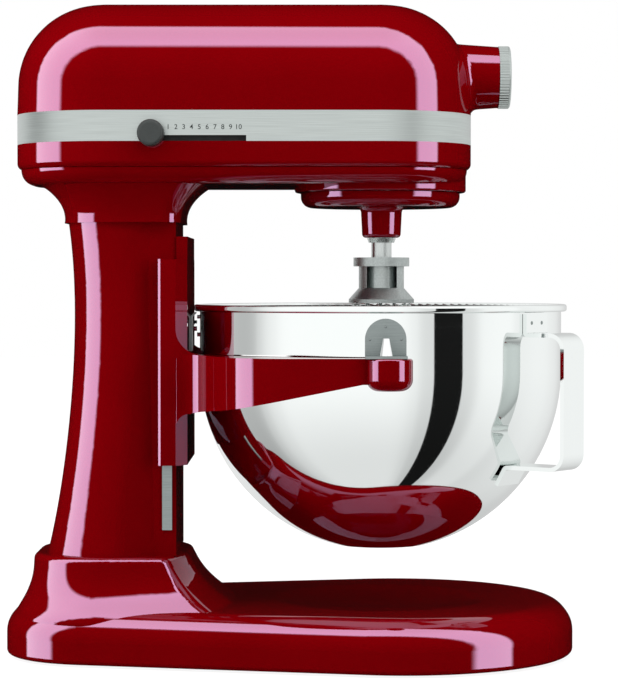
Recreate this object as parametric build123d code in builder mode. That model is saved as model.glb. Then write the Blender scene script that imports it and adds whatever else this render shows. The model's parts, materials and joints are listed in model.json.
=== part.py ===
"""Bowl-lift stand mixer, every piece its own solid.

Millimetres. +X points to the attachment hub at the front, +Z is up, and the
origin is the middle of the mixer's footprint on the worktop.
"""

import os
from math import acos, atan2, cos, degrees, hypot, pi, radians, sin, sqrt

from build123d import *

os.makedirs("parts", exist_ok=True)

# ---------------------------------------------------------------- driving sizes

# Clearances
running_gap = 0.05  # radial, shaft in its bore
seat_gap = 0.3  # between bodies that slide past each other
part_gap = 1.0  # free space around moving inner pieces

# Base casting
base_length = 364.7
front_lobe_radius = 112.0
front_lobe_spread = 7.0
rear_lobe_radius = 62.0
rear_lobe_spread = 16.5
base_height = 34.0
foot_standoff = 1.2
base_wall = 6.0
base_top_round = 18.5
base_bottom_round = 3.0
well_radius = 68.0
well_depth = 5.0
pedestal_rise = 32.0
pedestal_top_round = 4.0
pedestal_front_flat = 28.0  # half width of the front's flat middle
pedestal_front_slant = 13.0  # front falls back by this much at its sides
pedestal_front_round = 30.0
pedestal_side_round = 8.0
foot_radius = 11.0
foot_pad_height = 5.0
bottom_plate_thickness = 2.0

# Column casting
column_height = 211.0
column_wall = 6.0
rail_setback = 110.35  # rail block's front from the base's rear
rail_block_depth = 22.0
rail_block_half_width = 46.0
strip_width = 6.2
strip_thickness = 2.0
strip_proud = 1.0
strip_setback = 2.6
strip_rise = 16.5  # strip's foot above the pedestal
strip_length = 165.0

# Head
head_setback = 6.55  # head's rear from the base's rear
head_nose = 58.1  # head's front from the bowl's axis
head_width = 136.0
head_corner = 60.0
neck_height = 34.0
housing_height = 16.0
band_height = 19.2
cover_height = 70.8
head_top_round = 53.0
head_wall = 4.0
head_draft = 2.0
band_thickness = 1.6
housing_bottom_round = 4.0
underside_drop = 10.0
underside_inset = 2.5
underside_round = 9.9

# Drive line
drum_radius = 55.4
drum_drop = 14.0  # drum's foot below the housing
carrier_height = 9.7
planet_radius = 51.5
planet_round = 7.0
boss_radius = 12.2
boss_taper = 2.9
boss_root = 4.0
boss_length = 19.8
gear_module = 1.5
ring_teeth = 52
pinion_teeth = 16
main_gear_teeth = 48
drive_pinion_teeth = 16
worm_wheel_teeth = 28
worm_starts = 3
bevel_teeth = 16
bevel_module = 1.75
gear_face = 9.0
beater_shaft_radius = 6.5
centre_shaft_radius = 7.0
worm_radius = 10.0
motor_axis_rise = 53.0  # above the housing's foot

# Attachment hub
hub_radius = 19.7
hub_axis_rise = 60.7  # above the housing's foot
hub_reach = 18.2
hub_taper = 4.0
hub_bore_radius = 15.5
hub_bore_depth = 36.0
hub_cap_thickness = 7.4
hub_cap_radius = 20.2
knob_reach = 24.0
knob_radius = 7.5

# Bowl
bowl_radius = 117.0
bowl_headroom = 72.0  # rim below the drum
bowl_skirt = 42.5  # straight wall under the rim
bowl_wall = 1.4
bowl_foot_radius = 30.0
rim_bead_width = 3.6
rim_bead_height = 4.6
handle_turn = -37.0
finger_room = 26.4
handle_drop = 18.5  # top of the strap below the rim
handle_height = 82.5
handle_width = 24.0
handle_thickness = 2.6
handle_corner = 9.0

# Bowl carriage and lift
arm_drop = 31.4  # arms' top below the rim
arm_root_depth = 38.6
arm_tip_depth = 15.6
arm_width = 12.0
arm_bowl_gap = 4.0
arm_sweep = 34.7  # arms reach their full spread this far ahead of the carriage
arm_tip_radius = 14.0
arm_boss_depth = 19.6
arm_boss_round = 7.0
carriage_thickness = 7.0
carriage_rise = 74.4  # plate's top above the arms
carriage_drop = 69.6
catch_room = 5.9  # between the carriage and the bowl
cheek_thickness = 9.7
cheek_depth = 18.0
cheek_round = 7.0
cheek_edge = 1.5
cheek_step = 14.3  # cheeks' top below the plate's
pin_radius = 4.3
pin_tip_radius = 2.0
pin_height = 12.0
pin_reach = 11.0
lift_travel = 30.0
lift_shaft_setback = 28.0  # behind the rail block's front
lift_shaft_drop = 15.6  # below the arms' top
lift_shaft_radius = 6.0
crank_pin_radius = 4.0
crank_turn = 100.0
lever_length = 58.0

# Whisk
whisk_hub_drop = 12.6  # below the beater boss
whisk_hub_height = 29.0
whisk_flange_radius = 17.8
whisk_neck_radius = 14.4
whisk_skirt_radius = 20.8
whisk_socket_depth = 26.0
whisk_bulb_radius = 52.0
whisk_bulb_height = 48.5  # widest point above the lowest wire
whisk_base_radius = 30.0
whisk_floor_gap = 8.7
whisk_side_bend = 62.0
whisk_base_bend = 36.0
wire_radius = 1.1
wire_loops = 6

# Speed control
speed_off_reach = 89.8  # from the head's rear
speed_travel = 54.0
speed_slot_height = 3.6
speed_knob_rise = 4.6
speed_knob_radius = 8.3
speed_knob_length = 11.0
speed_stem_width = 5.0

# ---------------------------------------------------------------- derived sizes

base_rear_x = -base_length / 2
base_front_x = base_length / 2
front_lobe_x = base_front_x - front_lobe_radius
rear_lobe_x = base_rear_x + rear_lobe_radius
rail_block_front_x = base_rear_x + rail_setback
column_front_x = rail_block_front_x - rail_block_depth / 2
carriage_back_x = rail_block_front_x + seat_gap
carriage_front_x = carriage_back_x + carriage_thickness
bowl_axis_x = carriage_front_x + catch_room + bowl_radius
head_rear_x = base_rear_x + head_setback
head_front_x = bowl_axis_x + head_nose
head_length = head_front_x - head_rear_x
head_mid_x = (head_front_x + head_rear_x) / 2
hub_face_x = head_front_x + hub_reach
lift_shaft_x = rail_block_front_x - lift_shaft_setback
speed_off_x = head_rear_x + speed_off_reach
handle_reach = bowl_radius + finger_room + handle_thickness

pedestal_top_z = base_height + pedestal_rise
column_top_z = pedestal_top_z + column_height
housing_bottom_z = column_top_z + neck_height
underside_z = housing_bottom_z - underside_drop
band_bottom_z = housing_bottom_z + housing_height
band_top_z = band_bottom_z + band_height
head_top_z = band_top_z + cover_height
motor_axis_z = housing_bottom_z + motor_axis_rise
hub_axis_z = housing_bottom_z + hub_axis_rise
drum_bottom_z = housing_bottom_z - drum_drop
planet_bottom_z = drum_bottom_z - carrier_height
boss_bottom_z = planet_bottom_z - boss_length
bowl_rim_z = drum_bottom_z - bowl_headroom
bowl_centre_z = bowl_rim_z - bowl_skirt
bowl_floor_z = bowl_centre_z - sqrt(bowl_radius**2 - bowl_foot_radius**2)
handle_top_z = bowl_rim_z - handle_drop
handle_bottom_z = handle_top_z - handle_height
arm_top_z = bowl_rim_z - arm_drop
arm_root_bottom_z = arm_top_z - arm_root_depth
arm_tip_bottom_z = arm_top_z - arm_tip_depth
arm_outer_y = bowl_radius + arm_bowl_gap + arm_width
arm_sweep_x = carriage_front_x + arm_sweep
carriage_top_z = arm_top_z + carriage_rise
carriage_bottom_z = arm_top_z - carriage_drop
cheek_top_z = carriage_top_z - cheek_step
cheek_inner_y = rail_block_half_width + strip_proud + seat_gap
carriage_half_width = cheek_inner_y + cheek_thickness
lift_shaft_z = arm_top_z - lift_shaft_drop
whisk_hub_top_z = boss_bottom_z - whisk_hub_drop
whisk_bottom_z = bowl_floor_z + bowl_wall + whisk_floor_gap
speed_knob_z = band_bottom_z + speed_knob_rise

ring_pitch_radius = gear_module * ring_teeth / 2
pinion_pitch_radius = gear_module * pinion_teeth / 2
beater_offset = ring_pitch_radius - pinion_pitch_radius
beater_y = -beater_offset
crank_radius = lift_travel / 2 / sin(radians(crank_turn / 2))
wheel_pitch_radius = gear_module * worm_wheel_teeth / 2
wheel_y = worm_radius + wheel_pitch_radius
wheel_x = bowl_axis_x - sqrt(
    (gear_module * (main_gear_teeth + drive_pinion_teeth) / 2) ** 2 - wheel_y**2
)


def save(piece, name):
    """Label a finished piece and write it to its own STEP file."""
    piece.part.label = name
    export_step(piece.part, f"parts/{name}.step")


def bowl_outline_radius(z, shrink=0.0):
    """Radius of the bowl's outside at height z, made smaller by shrink."""
    radius = bowl_radius - shrink
    if z >= bowl_centre_z:
        return radius
    return sqrt(radius**2 - (bowl_centre_z - z) ** 2)


# ------------------------------------------------------------------------- base

pedestal_sections = [
    # height, inset from the base's rear, reach past the rail block, front half width
    (base_height - 9.0, 5.5, 50.0, 80.0),
    (base_height - 2.0, 8.0, 38.0, 77.5),
    (base_height + 4.0, 11.5, 29.5, 71.5),
    (base_height + 10.0, 14.3, 22.0, 66.3),
    (base_height + 18.0, 16.6, 14.5, 62.4),
    (base_height + 25.0, 17.4, 10.0, 61.0),
    (pedestal_top_z, 17.8, 6.5, 60.5),
]
foot_spots = [
    (base_rear_x + 26.0, 34.0),
    (base_rear_x + 26.0, -34.0),
    (front_lobe_x + 14.0, 80.0),
    (front_lobe_x + 14.0, -80.0),
    (base_front_x - 20.0, 0.0),
]
base_bolt_spots = [
    (base_rear_x + 44.35, 30.0),
    (base_rear_x + 44.35, -30.0),
    (rail_block_front_x - 26.0, 34.0),
    (rail_block_front_x - 26.0, -34.0),
]
bolt_radius = 4.0
bolt_head_radius = 6.5
bolt_head_height = 5.0
pedestal_roof = 10.0
hollow_corner = 20.0
foot_boss_wall = 3.0
dish_radius = (well_radius**2 + well_depth**2) / (2 * well_depth)


def base_outline(inset):
    """Plan of the base: two wide front lobes and two narrow rear ones, hulled."""
    with Locations((front_lobe_x, front_lobe_spread), (front_lobe_x, -front_lobe_spread)):
        Circle(front_lobe_radius - inset)
    with Locations((rear_lobe_x, rear_lobe_spread), (rear_lobe_x, -rear_lobe_spread)):
        Circle(rear_lobe_radius - inset)
    make_hull()


with BuildPart() as base:
    with BuildSketch(Plane.XY.offset(foot_standoff)):
        base_outline(0)
    extrude(amount=base_height - foot_standoff)
    fillet(base.edges().group_by(Axis.Z)[-1], base_top_round)
    fillet(base.edges().group_by(Axis.Z)[0], base_bottom_round)
    # Bowl well: a shallow spherical dish
    with Locations((bowl_axis_x, 0, base_height - well_depth + dish_radius)):
        Sphere(dish_radius, mode=Mode.SUBTRACT)
    for height, inset, reach, half_width in pedestal_sections:
        rear = base_rear_x + inset
        front = rail_block_front_x + reach
        side_x = front - pedestal_front_slant
        corner = rear_lobe_radius - inset
        rear_half_width = corner + rear_lobe_spread
        with BuildSketch(Plane.XY.offset(height)):
            with BuildLine():
                outline = FilletPolyline(
                    (front, -1),
                    (front, -pedestal_front_flat),
                    (side_x, -half_width),
                    (rear, -rear_half_width),
                    (rear, rear_half_width),
                    (side_x, half_width),
                    (front, pedestal_front_flat),
                    (front, 1),
                    radius=[
                        pedestal_front_round,
                        pedestal_side_round,
                        corner,
                        corner,
                        pedestal_side_round,
                        pedestal_front_round,
                    ],
                )
                Line(outline @ 1, outline @ 0)
            make_face()
    loft()
    fillet(base.faces().sort_by(Axis.Z)[-1].edges(), pedestal_top_round)
    # Open underside with a wall all round
    with BuildSketch(Plane.XY.offset(foot_standoff)):
        base_outline(base_top_round)
    extrude(amount=base_height - foot_standoff - base_wall - well_depth, mode=Mode.SUBTRACT)
    # Hollow pedestal
    inset, reach, half_width = pedestal_sections[-1][1:4]
    rear = base_rear_x + inset
    front = rail_block_front_x + reach
    with BuildSketch(Plane.XY.offset(foot_standoff)):
        with Locations(((rear + front) / 2, 0)):
            RectangleRounded(
                front - rear - 4 * base_wall, 2 * (half_width - 2 * base_wall), hollow_corner
            )
    extrude(amount=pedestal_top_z - pedestal_roof - foot_standoff, mode=Mode.SUBTRACT)
    # Bosses for the rubber feet
    with BuildSketch(Plane.XY.offset(foot_standoff)):
        with Locations(*foot_spots):
            Circle(foot_radius + foot_boss_wall)
    extrude(amount=base_height - foot_standoff - base_wall - well_depth)
    with BuildSketch(Plane.XY.offset(foot_standoff)):
        with Locations(*foot_spots):
            Circle(foot_radius)
    extrude(amount=foot_pad_height - foot_standoff, mode=Mode.SUBTRACT)
    # Bolt holes through the pedestal roof
    with BuildSketch(Plane.XY.offset(pedestal_top_z - pedestal_roof - 1)):
        with Locations(*base_bolt_spots):
            Circle(bolt_radius + running_gap)
    extrude(amount=pedestal_roof + 2, mode=Mode.SUBTRACT)
save(base, "base")

# Plate that closes the base's underside, cut out round the feet
with BuildPart() as bottom_plate:
    with BuildSketch(Plane.XY.offset(foot_standoff)):
        base_outline(base_top_round + seat_gap)
        with Locations(*foot_spots):
            Circle(foot_radius + foot_boss_wall + seat_gap, mode=Mode.SUBTRACT)
    extrude(amount=bottom_plate_thickness)
save(bottom_plate, "bottom_plate")

with BuildPart() as rubber_feet:
    with BuildSketch(Plane.XY):
        with Locations(*foot_spots):
            Circle(foot_radius)
    extrude(amount=foot_pad_height)
    chamfer(rubber_feet.edges().group_by(Axis.Z)[0], 1.0)
save(rubber_feet, "rubber_feet")

# ----------------------------------------------------------------------- column

column_sections = [
    # height, rear x, half width, rear corner radius
    (pedestal_top_z, base_rear_x + 25.85, 55.0, 45.0),
    (pedestal_top_z + 43.5, base_rear_x + 34.65, 51.5, 38.0),
    (column_top_z - 101.5, base_rear_x + 41.95, 48.5, 36.0),
    (column_top_z - 41.0, base_rear_x + 43.15, 47.5, 36.0),
    (column_top_z, base_rear_x + 39.75, 48.5, 37.0),
]
column_side_flat = 4.0
column_side_round = 20.0
cavity_corner = 15.0
column_floor = 12.0
window_half_width = 9.0
lug_half_height = 12.0
lug_half_thickness = 3.0
lug_slot_play = 1.3
crank_web_y = lug_half_thickness + part_gap
crank_web = 6.0
shaft_boss_radius = 11.0
shaft_boss_y = crank_web_y + crank_web + part_gap

lug_mid_z = lift_shaft_z + lift_travel / 2
window_bottom_z = lug_mid_z - lift_travel - lug_half_height - 2 * part_gap
window_top_z = lug_mid_z + lug_half_height + 2 * part_gap
strip_x = rail_block_front_x - strip_setback - strip_width / 2
strip_bottom_z = pedestal_top_z + strip_rise

with BuildPart() as column:
    for height, rear, half_width, corner in column_sections:
        side_x = rear + corner + column_side_flat
        front_half_width = rail_block_half_width - 1
        with BuildSketch(Plane.XY.offset(height)):
            with BuildLine():
                outline = FilletPolyline(
                    (column_front_x, -front_half_width),
                    (side_x, -half_width),
                    (rear, -half_width),
                    (rear, half_width),
                    (side_x, half_width),
                    (column_front_x, front_half_width),
                    radius=[column_side_round, corner, corner, column_side_round],
                )
                Line(outline @ 1, outline @ 0)
            make_face()
    loft()
    with BuildSketch(Plane.XY.offset(pedestal_top_z)):
        with Locations((rail_block_front_x - rail_block_depth / 2, 0)):
            Rectangle(rail_block_depth, 2 * rail_block_half_width)
    extrude(amount=column_top_z - pedestal_top_z)
    # Cavity for the lift mechanism, closed at both ends
    with BuildSketch(Plane.XY.offset(pedestal_top_z + column_floor)):
        with Locations(((column_sections[3][1] + column_front_x) / 2 + 2, 0)):
            RectangleRounded(
                column_front_x - column_sections[3][1] - 2 * column_wall - 4,
                2 * (column_sections[3][2] - 2 * column_wall),
                cavity_corner,
            )
    extrude(amount=column_top_z - pedestal_top_z - 2 * column_floor, mode=Mode.SUBTRACT)
    # Window in the front for the carriage lug
    with BuildSketch(Plane.YZ.offset(rail_block_front_x + 1)):
        with Locations((0, (window_bottom_z + window_top_z) / 2)):
            Rectangle(2 * window_half_width, window_top_z - window_bottom_z)
    extrude(amount=-rail_block_depth - 12, mode=Mode.SUBTRACT)
    # Grooves for the two steel strips
    with BuildSketch(Plane.XY.offset(strip_bottom_z)):
        for side in (1, -1):
            with Locations(
                (strip_x, side * (rail_block_half_width - (strip_thickness - strip_proud) / 2))
            ):
                Rectangle(strip_width, strip_thickness - strip_proud)
    extrude(amount=strip_length, mode=Mode.SUBTRACT)
    # Bearing boss and bore for the lift shaft, on the lever's side
    with BuildSketch(Plane.XZ.offset(-shaft_boss_y)):
        with Locations((lift_shaft_x, lift_shaft_z)):
            Circle(shaft_boss_radius)
    extrude(amount=shaft_boss_y - column_sections[3][2] + column_wall / 2)
    with BuildSketch(Plane.XZ.offset(1 - shaft_boss_y)):
        with Locations((lift_shaft_x, lift_shaft_z)):
            Circle(lift_shaft_radius + running_gap)
    extrude(amount=-2 * rail_block_half_width, mode=Mode.SUBTRACT)
    # Threaded holes for the base bolts
    with BuildSketch(Plane.XY.offset(pedestal_top_z)):
        with Locations(*base_bolt_spots):
            Circle(bolt_radius + running_gap)
    extrude(amount=column_floor - 2, mode=Mode.SUBTRACT)
save(column, "column")

with BuildPart() as rail_strips:
    with BuildSketch(Plane.XY.offset(strip_bottom_z)):
        for side in (1, -1):
            with Locations(
                (strip_x, side * (rail_block_half_width + strip_proud - strip_thickness / 2))
            ):
                Rectangle(strip_width, strip_thickness)
    extrude(amount=strip_length)
save(rail_strips, "rail_strips")

with BuildPart() as base_bolts:
    with BuildSketch(Plane.XY.offset(pedestal_top_z - pedestal_roof - bolt_head_height)):
        with Locations(*base_bolt_spots):
            RegularPolygon(bolt_head_radius, 6)
    extrude(amount=bolt_head_height)
    with BuildSketch(Plane.XY.offset(pedestal_top_z - pedestal_roof)):
        with Locations(*base_bolt_spots):
            Circle(bolt_radius)
    extrude(amount=pedestal_roof + column_floor - 3)
save(base_bolts, "base_bolts")

# --------------------------------------------------------------------- gearcase

neck_sections = [
    # height, rear x, front x, half width, rear corner radius, front corner radius
    (column_top_z, head_rear_x + 30.5, rail_block_front_x + 3.2, 51.0, 40.0, 12.0),
    (column_top_z + 7.0, head_rear_x + 30.2, rail_block_front_x + 3.6, 51.2, 40.0, 12.0),
    (underside_z - 8.0, head_rear_x + 25.3, rail_block_front_x + 8.5, 53.0, 41.5, 14.0),
    (underside_z, head_rear_x + 15.8, rail_block_front_x + 18.0, 57.0, 45.0, 19.0),
    (underside_z + 5.0, head_rear_x + 6.8, rail_block_front_x + 26.0, 61.0, 49.0, 25.0),
]
drum_pocket_radius = ring_pitch_radius + 6.0
drum_pocket_top_z = drum_bottom_z + gear_face + 3.0
gear_bottom_z = drum_bottom_z + 2.0
ledge_height = 5.0
wheel_shaft_radius = 5.0
wheel_boss_height = 7.0
wheel_floor_z = housing_bottom_z + 0.5
drum_edge_round = 1.5
column_bolt_spots = [
    (base_rear_x + 50.35, 26.0),
    (base_rear_x + 50.35, -26.0),
    (rail_block_front_x - 32.0, 30.0),
    (rail_block_front_x - 32.0, -30.0),
]
inlet_spot = (head_rear_x + 25.8, 44.0)
inlet_radius = 7.0


def head_outline(inset):
    """Plan of the motor head, a long rounded rectangle."""
    with Locations((head_mid_x, 0)):
        RectangleRounded(
            head_length - 2 * inset, head_width - 2 * inset, head_corner - inset
        )


with BuildPart() as gearcase:
    with BuildSketch(Plane.XY.offset(housing_bottom_z)):
        head_outline(underside_inset)
    extrude(amount=-underside_drop)
    fillet(gearcase.edges().group_by(Axis.Z)[0], underside_round)
    for height, rear, front, half_width, rear_corner, front_corner in neck_sections:
        with BuildSketch(Plane.XY.offset(height)):
            with BuildLine():
                outline = FilletPolyline(
                    (front, -1),
                    (front, -half_width),
                    (rear, -half_width),
                    (rear, half_width),
                    (front, half_width),
                    (front, 1),
                    radius=[front_corner, rear_corner, rear_corner, front_corner],
                )
                Line(outline @ 1, outline @ 0)
            make_face()
    loft()
    with BuildSketch(Plane.XY.offset(drum_bottom_z)):
        with Locations((bowl_axis_x, 0)):
            Circle(drum_radius)
    extrude(amount=housing_bottom_z - drum_bottom_z)
    drum_face = gearcase.faces().filter_by(Axis.Z).filter_by_position(
        Axis.Z, drum_bottom_z - 0.1, drum_bottom_z + 0.1
    )
    fillet(drum_face.edges(), drum_edge_round)
    # Pocket for the ring gear and the planetary carrier's top
    with BuildSketch(Plane.XY.offset(drum_bottom_z)):
        with Locations((bowl_axis_x, 0)):
            Circle(drum_pocket_radius)
    extrude(amount=drum_pocket_top_z - drum_bottom_z, mode=Mode.SUBTRACT)
    # Bearing boss and bore for the planetary's centre shaft
    with BuildSketch(Plane.XY.offset(drum_pocket_top_z)):
        with Locations((bowl_axis_x, 0)):
            Circle(centre_shaft_radius + 6.0)
    extrude(amount=housing_bottom_z - drum_pocket_top_z + ledge_height)
    with BuildSketch(Plane.XY.offset(drum_pocket_top_z - 1)):
        with Locations((bowl_axis_x, 0)):
            Circle(centre_shaft_radius + running_gap)
    extrude(amount=housing_bottom_z - drum_pocket_top_z + ledge_height + 2, mode=Mode.SUBTRACT)
    # Blind bearing boss for the worm wheel's shaft
    with BuildSketch(Plane.XY.offset(housing_bottom_z)):
        with Locations((wheel_x, wheel_y)):
            Circle(wheel_shaft_radius + 4.0)
    extrude(amount=wheel_boss_height)
    with BuildSketch(Plane.XY.offset(wheel_floor_z)):
        with Locations((wheel_x, wheel_y)):
            Circle(wheel_shaft_radius + running_gap)
    extrude(amount=wheel_boss_height, mode=Mode.SUBTRACT)
    # Bolt holes down into the column
    with BuildSketch(Plane.XY.offset(column_top_z - 1)):
        with Locations(*column_bolt_spots):
            Circle(bolt_radius + running_gap)
    extrude(amount=housing_bottom_z - column_top_z + 2, mode=Mode.SUBTRACT)
    # Hole for the mains lead's grommet, in the rear underside
    with BuildSketch(Plane.XY.offset(underside_z - 10)):
        with Locations(inlet_spot):
            Circle(inlet_radius)
    extrude(amount=30, mode=Mode.SUBTRACT)
save(gearcase, "gearcase")

with BuildPart() as column_bolts:
    with BuildSketch(Plane.XY.offset(housing_bottom_z)):
        with Locations(*column_bolt_spots):
            RegularPolygon(bolt_head_radius, 6)
    extrude(amount=bolt_head_height)
    with BuildSketch(Plane.XY.offset(column_top_z)):
        with Locations(*column_bolt_spots):
            Circle(bolt_radius)
    extrude(amount=housing_bottom_z - column_top_z)
save(column_bolts, "column_bolts")

with BuildPart() as cord_grommet:
    with BuildSketch(Plane.XY.offset(underside_z)):
        with Locations(inlet_spot):
            Circle(inlet_radius)
            Circle(inlet_radius / 2, mode=Mode.SUBTRACT)
    extrude(amount=housing_bottom_z - underside_z)
save(cord_grommet, "cord_grommet")

# ----------------------------------------------------------------- head shells

housing_foot = 7.0  # height and width of the housing's bottom flange
slot_front_x = speed_off_x + speed_travel + speed_stem_width
slot_rear_x = speed_off_x - speed_stem_width

with BuildPart() as motor_housing:
    with BuildSketch(Plane.XY.offset(housing_bottom_z)):
        head_outline(0)
    extrude(amount=band_bottom_z - housing_bottom_z)
    fillet(motor_housing.edges().group_by(Axis.Z)[0], housing_bottom_round)
    with BuildSketch(Plane.XY.offset(band_bottom_z)):
        head_outline(band_thickness)
    extrude(amount=band_height)
    with BuildSketch(Plane.XY.offset(housing_bottom_z + housing_foot)):
        head_outline(band_thickness + head_wall)
    extrude(amount=band_top_z - housing_bottom_z, mode=Mode.SUBTRACT)
    with BuildSketch(Plane.XY.offset(housing_bottom_z)):
        head_outline(band_thickness + head_wall + housing_foot)
    extrude(amount=housing_foot, mode=Mode.SUBTRACT)
    # Slot behind the band for the speed lever's stem
    with BuildSketch(Plane.XY.offset(band_bottom_z)):
        with Locations(((slot_rear_x + slot_front_x) / 2, -head_width / 2 + head_wall / 2)):
            Rectangle(slot_front_x - slot_rear_x, 3 * head_wall)
    extrude(amount=speed_slot_height, mode=Mode.SUBTRACT)
save(motor_housing, "motor_housing")

with BuildPart() as trim_band:
    with BuildSketch(Plane.XY.offset(band_bottom_z)):
        head_outline(0)
        with BuildSketch(mode=Mode.PRIVATE) as band_inside:
            head_outline(band_thickness)
        add(band_inside.sketch, mode=Mode.SUBTRACT)
    extrude(amount=band_height)
    with BuildSketch(Plane.XY.offset(band_bottom_z)):
        with Locations(((slot_rear_x + slot_front_x) / 2, -head_width / 2)):
            Rectangle(slot_front_x - slot_rear_x, 3 * head_wall)
    extrude(amount=speed_slot_height, mode=Mode.SUBTRACT)
save(trim_band, "trim_band")

hub_inner_x = hub_face_x - hub_bore_depth
hub_bearing_x = hub_inner_x - 12.0
hub_drive_radius = 11.5
knob_screw_radius = 3.0
knob_screw_x = hub_face_x - knob_radius - 1.0
hub_flare = 5.0

with BuildPart() as head_cavity:
    with BuildSketch(Plane.XY.offset(band_top_z)):
        head_outline(head_wall)
    extrude(amount=head_top_z - head_wall - band_top_z, taper=head_draft)
    fillet(head_cavity.edges().group_by(Axis.Z)[-1], head_top_round - head_wall)

with BuildPart() as top_cover:
    with BuildSketch(Plane.XY.offset(band_top_z)):
        head_outline(0)
    extrude(amount=head_top_z - band_top_z, taper=head_draft)
    fillet(top_cover.edges().group_by(Axis.Z)[-1], head_top_round)
    # Hub boss standing out of the front, flared into the shell
    with BuildSketch(Plane.YZ.offset(hub_face_x)):
        with Locations((0, hub_axis_z)):
            Circle(hub_radius)
    extrude(amount=hub_bearing_x - hub_face_x, taper=-hub_taper)
    hub_root = top_cover.edges().filter_by(
        lambda edge: hypot(edge.center().Y, edge.center().Z - hub_axis_z) < 1.2 * hub_radius
        and head_front_x - 2 * hub_radius < edge.center().X < head_front_x + 1
    )
    fillet(hub_root, hub_flare)
    add(head_cavity.part, mode=Mode.SUBTRACT)
    with BuildSketch(Plane.YZ.offset(hub_bearing_x)):
        with Locations((0, hub_axis_z)):
            Circle(hub_radius)
    extrude(amount=head_front_x - hub_bearing_x)
    with BuildSketch(Plane.YZ.offset(hub_bearing_x - 1)):
        with Locations((0, hub_axis_z)):
            Circle(hub_drive_radius + running_gap)
    extrude(amount=hub_inner_x - hub_bearing_x + 2, mode=Mode.SUBTRACT)
    with BuildSketch(Plane.YZ.offset(hub_inner_x)):
        with Locations((0, hub_axis_z)):
            Circle(hub_bore_radius)
    extrude(amount=hub_bore_depth + 1, mode=Mode.SUBTRACT)
    # Hole for the thumb screw
    with BuildSketch(Plane.XZ.offset(-hub_bore_radius + 2)):
        with Locations((knob_screw_x, hub_axis_z)):
            Circle(knob_screw_radius + running_gap)
    extrude(amount=-hub_radius, mode=Mode.SUBTRACT)
save(top_cover, "top_cover")

# -------------------------------------------------------------------- gearing


def gear_outline(module, teeth, phase, scale=1.0):
    """External gear: flat-flanked teeth, the first centred at phase degrees."""
    pitch = module * teeth / 2
    tip = (pitch + 0.9 * module) * scale
    root = (pitch - 1.15 * module) * scale
    step = 360 / teeth
    points = []
    for tooth in range(teeth):
        middle = phase + tooth * step
        for radius, share in ((root, -0.29), (tip, -0.115), (tip, 0.115), (root, 0.29)):
            angle = radians(middle + share * step)
            points.append((radius * cos(angle), radius * sin(angle)))
    return points


def gear_space_outline(module, teeth, phase):
    """Hole of an internal gear, the first gap centred at phase degrees."""
    pitch = module * teeth / 2
    outer = pitch + 1.15 * module
    inner = pitch - 0.9 * module
    step = 360 / teeth
    points = []
    for tooth in range(teeth):
        middle = phase + tooth * step
        for radius, share in ((inner, -0.385), (outer, -0.21), (outer, 0.21), (inner, 0.385)):
            angle = radians(middle + share * step)
            points.append((radius * cos(angle), radius * sin(angle)))
    return points


with BuildPart() as ring_gear:
    with BuildSketch(Plane.XY.offset(gear_bottom_z)):
        with Locations((bowl_axis_x, 0)):
            Circle(drum_pocket_radius)
            Polygon(*gear_space_outline(gear_module, ring_teeth, -90), align=None,
                    mode=Mode.SUBTRACT)
    extrude(amount=gear_face)
save(ring_gear, "ring_gear")

# Planetary carrier: a disc with the beater boss off its axis
carrier_top_z = drum_bottom_z - seat_gap
shaft_seat = 6.0
boss_tip_round = 2.5
with BuildPart() as planetary:
    with BuildSketch(Plane.XY.offset(planet_bottom_z)):
        with Locations((bowl_axis_x, 0)):
            Circle(planet_radius)
    extrude(amount=carrier_top_z - planet_bottom_z)
    fillet(planetary.edges().group_by(Axis.Z)[0], planet_round)
    with BuildSketch(Plane.XY.offset(boss_bottom_z)):
        with Locations((bowl_axis_x, beater_y)):
            Circle(boss_radius)
    extrude(amount=carrier_top_z - boss_bottom_z, taper=-boss_taper)
    fillet(planetary.edges().group_by(Axis.Z)[0], boss_tip_round)
    root_edges = planetary.edges().filter_by(GeomType.CIRCLE).filter_by_position(
        Axis.Z, planet_bottom_z - 0.1, planet_bottom_z + 0.1
    ).filter_by(lambda edge: edge.radius < 2 * boss_radius)
    fillet(root_edges, boss_root)
    with BuildSketch(Plane.XY.offset(boss_bottom_z - 1)):
        with Locations((bowl_axis_x, beater_y)):
            Circle(beater_shaft_radius + running_gap)
    extrude(amount=carrier_top_z - boss_bottom_z + 2, mode=Mode.SUBTRACT)
    with BuildSketch(Plane.XY.offset(carrier_top_z - shaft_seat)):
        with Locations((bowl_axis_x, 0)):
            Circle(centre_shaft_radius)
    extrude(amount=shaft_seat, mode=Mode.SUBTRACT)
save(planetary, "planetary")

main_gear_z = housing_bottom_z + 9.0
bevel_radius = bevel_module * bevel_teeth / 2
bevel_small = 0.62
bevel_top_z = hub_axis_z - bevel_radius * bevel_small
bevel_base_z = hub_axis_z - bevel_radius
with BuildPart() as centre_shaft:
    with BuildSketch(Plane.XY.offset(carrier_top_z - shaft_seat)):
        with Locations((bowl_axis_x, 0)):
            Circle(centre_shaft_radius)
    extrude(amount=bevel_base_z - carrier_top_z + shaft_seat)
save(centre_shaft, "centre_shaft")

mesh_angle = degrees(atan2(wheel_y, wheel_x - bowl_axis_x))
with BuildPart() as main_gear:
    with BuildSketch(Plane.XY.offset(main_gear_z)):
        with Locations((bowl_axis_x, 0)):
            Polygon(*gear_outline(gear_module, main_gear_teeth, mesh_angle), align=None)
            Circle(centre_shaft_radius, mode=Mode.SUBTRACT)
    extrude(amount=gear_face)
save(main_gear, "main_gear")

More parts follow.
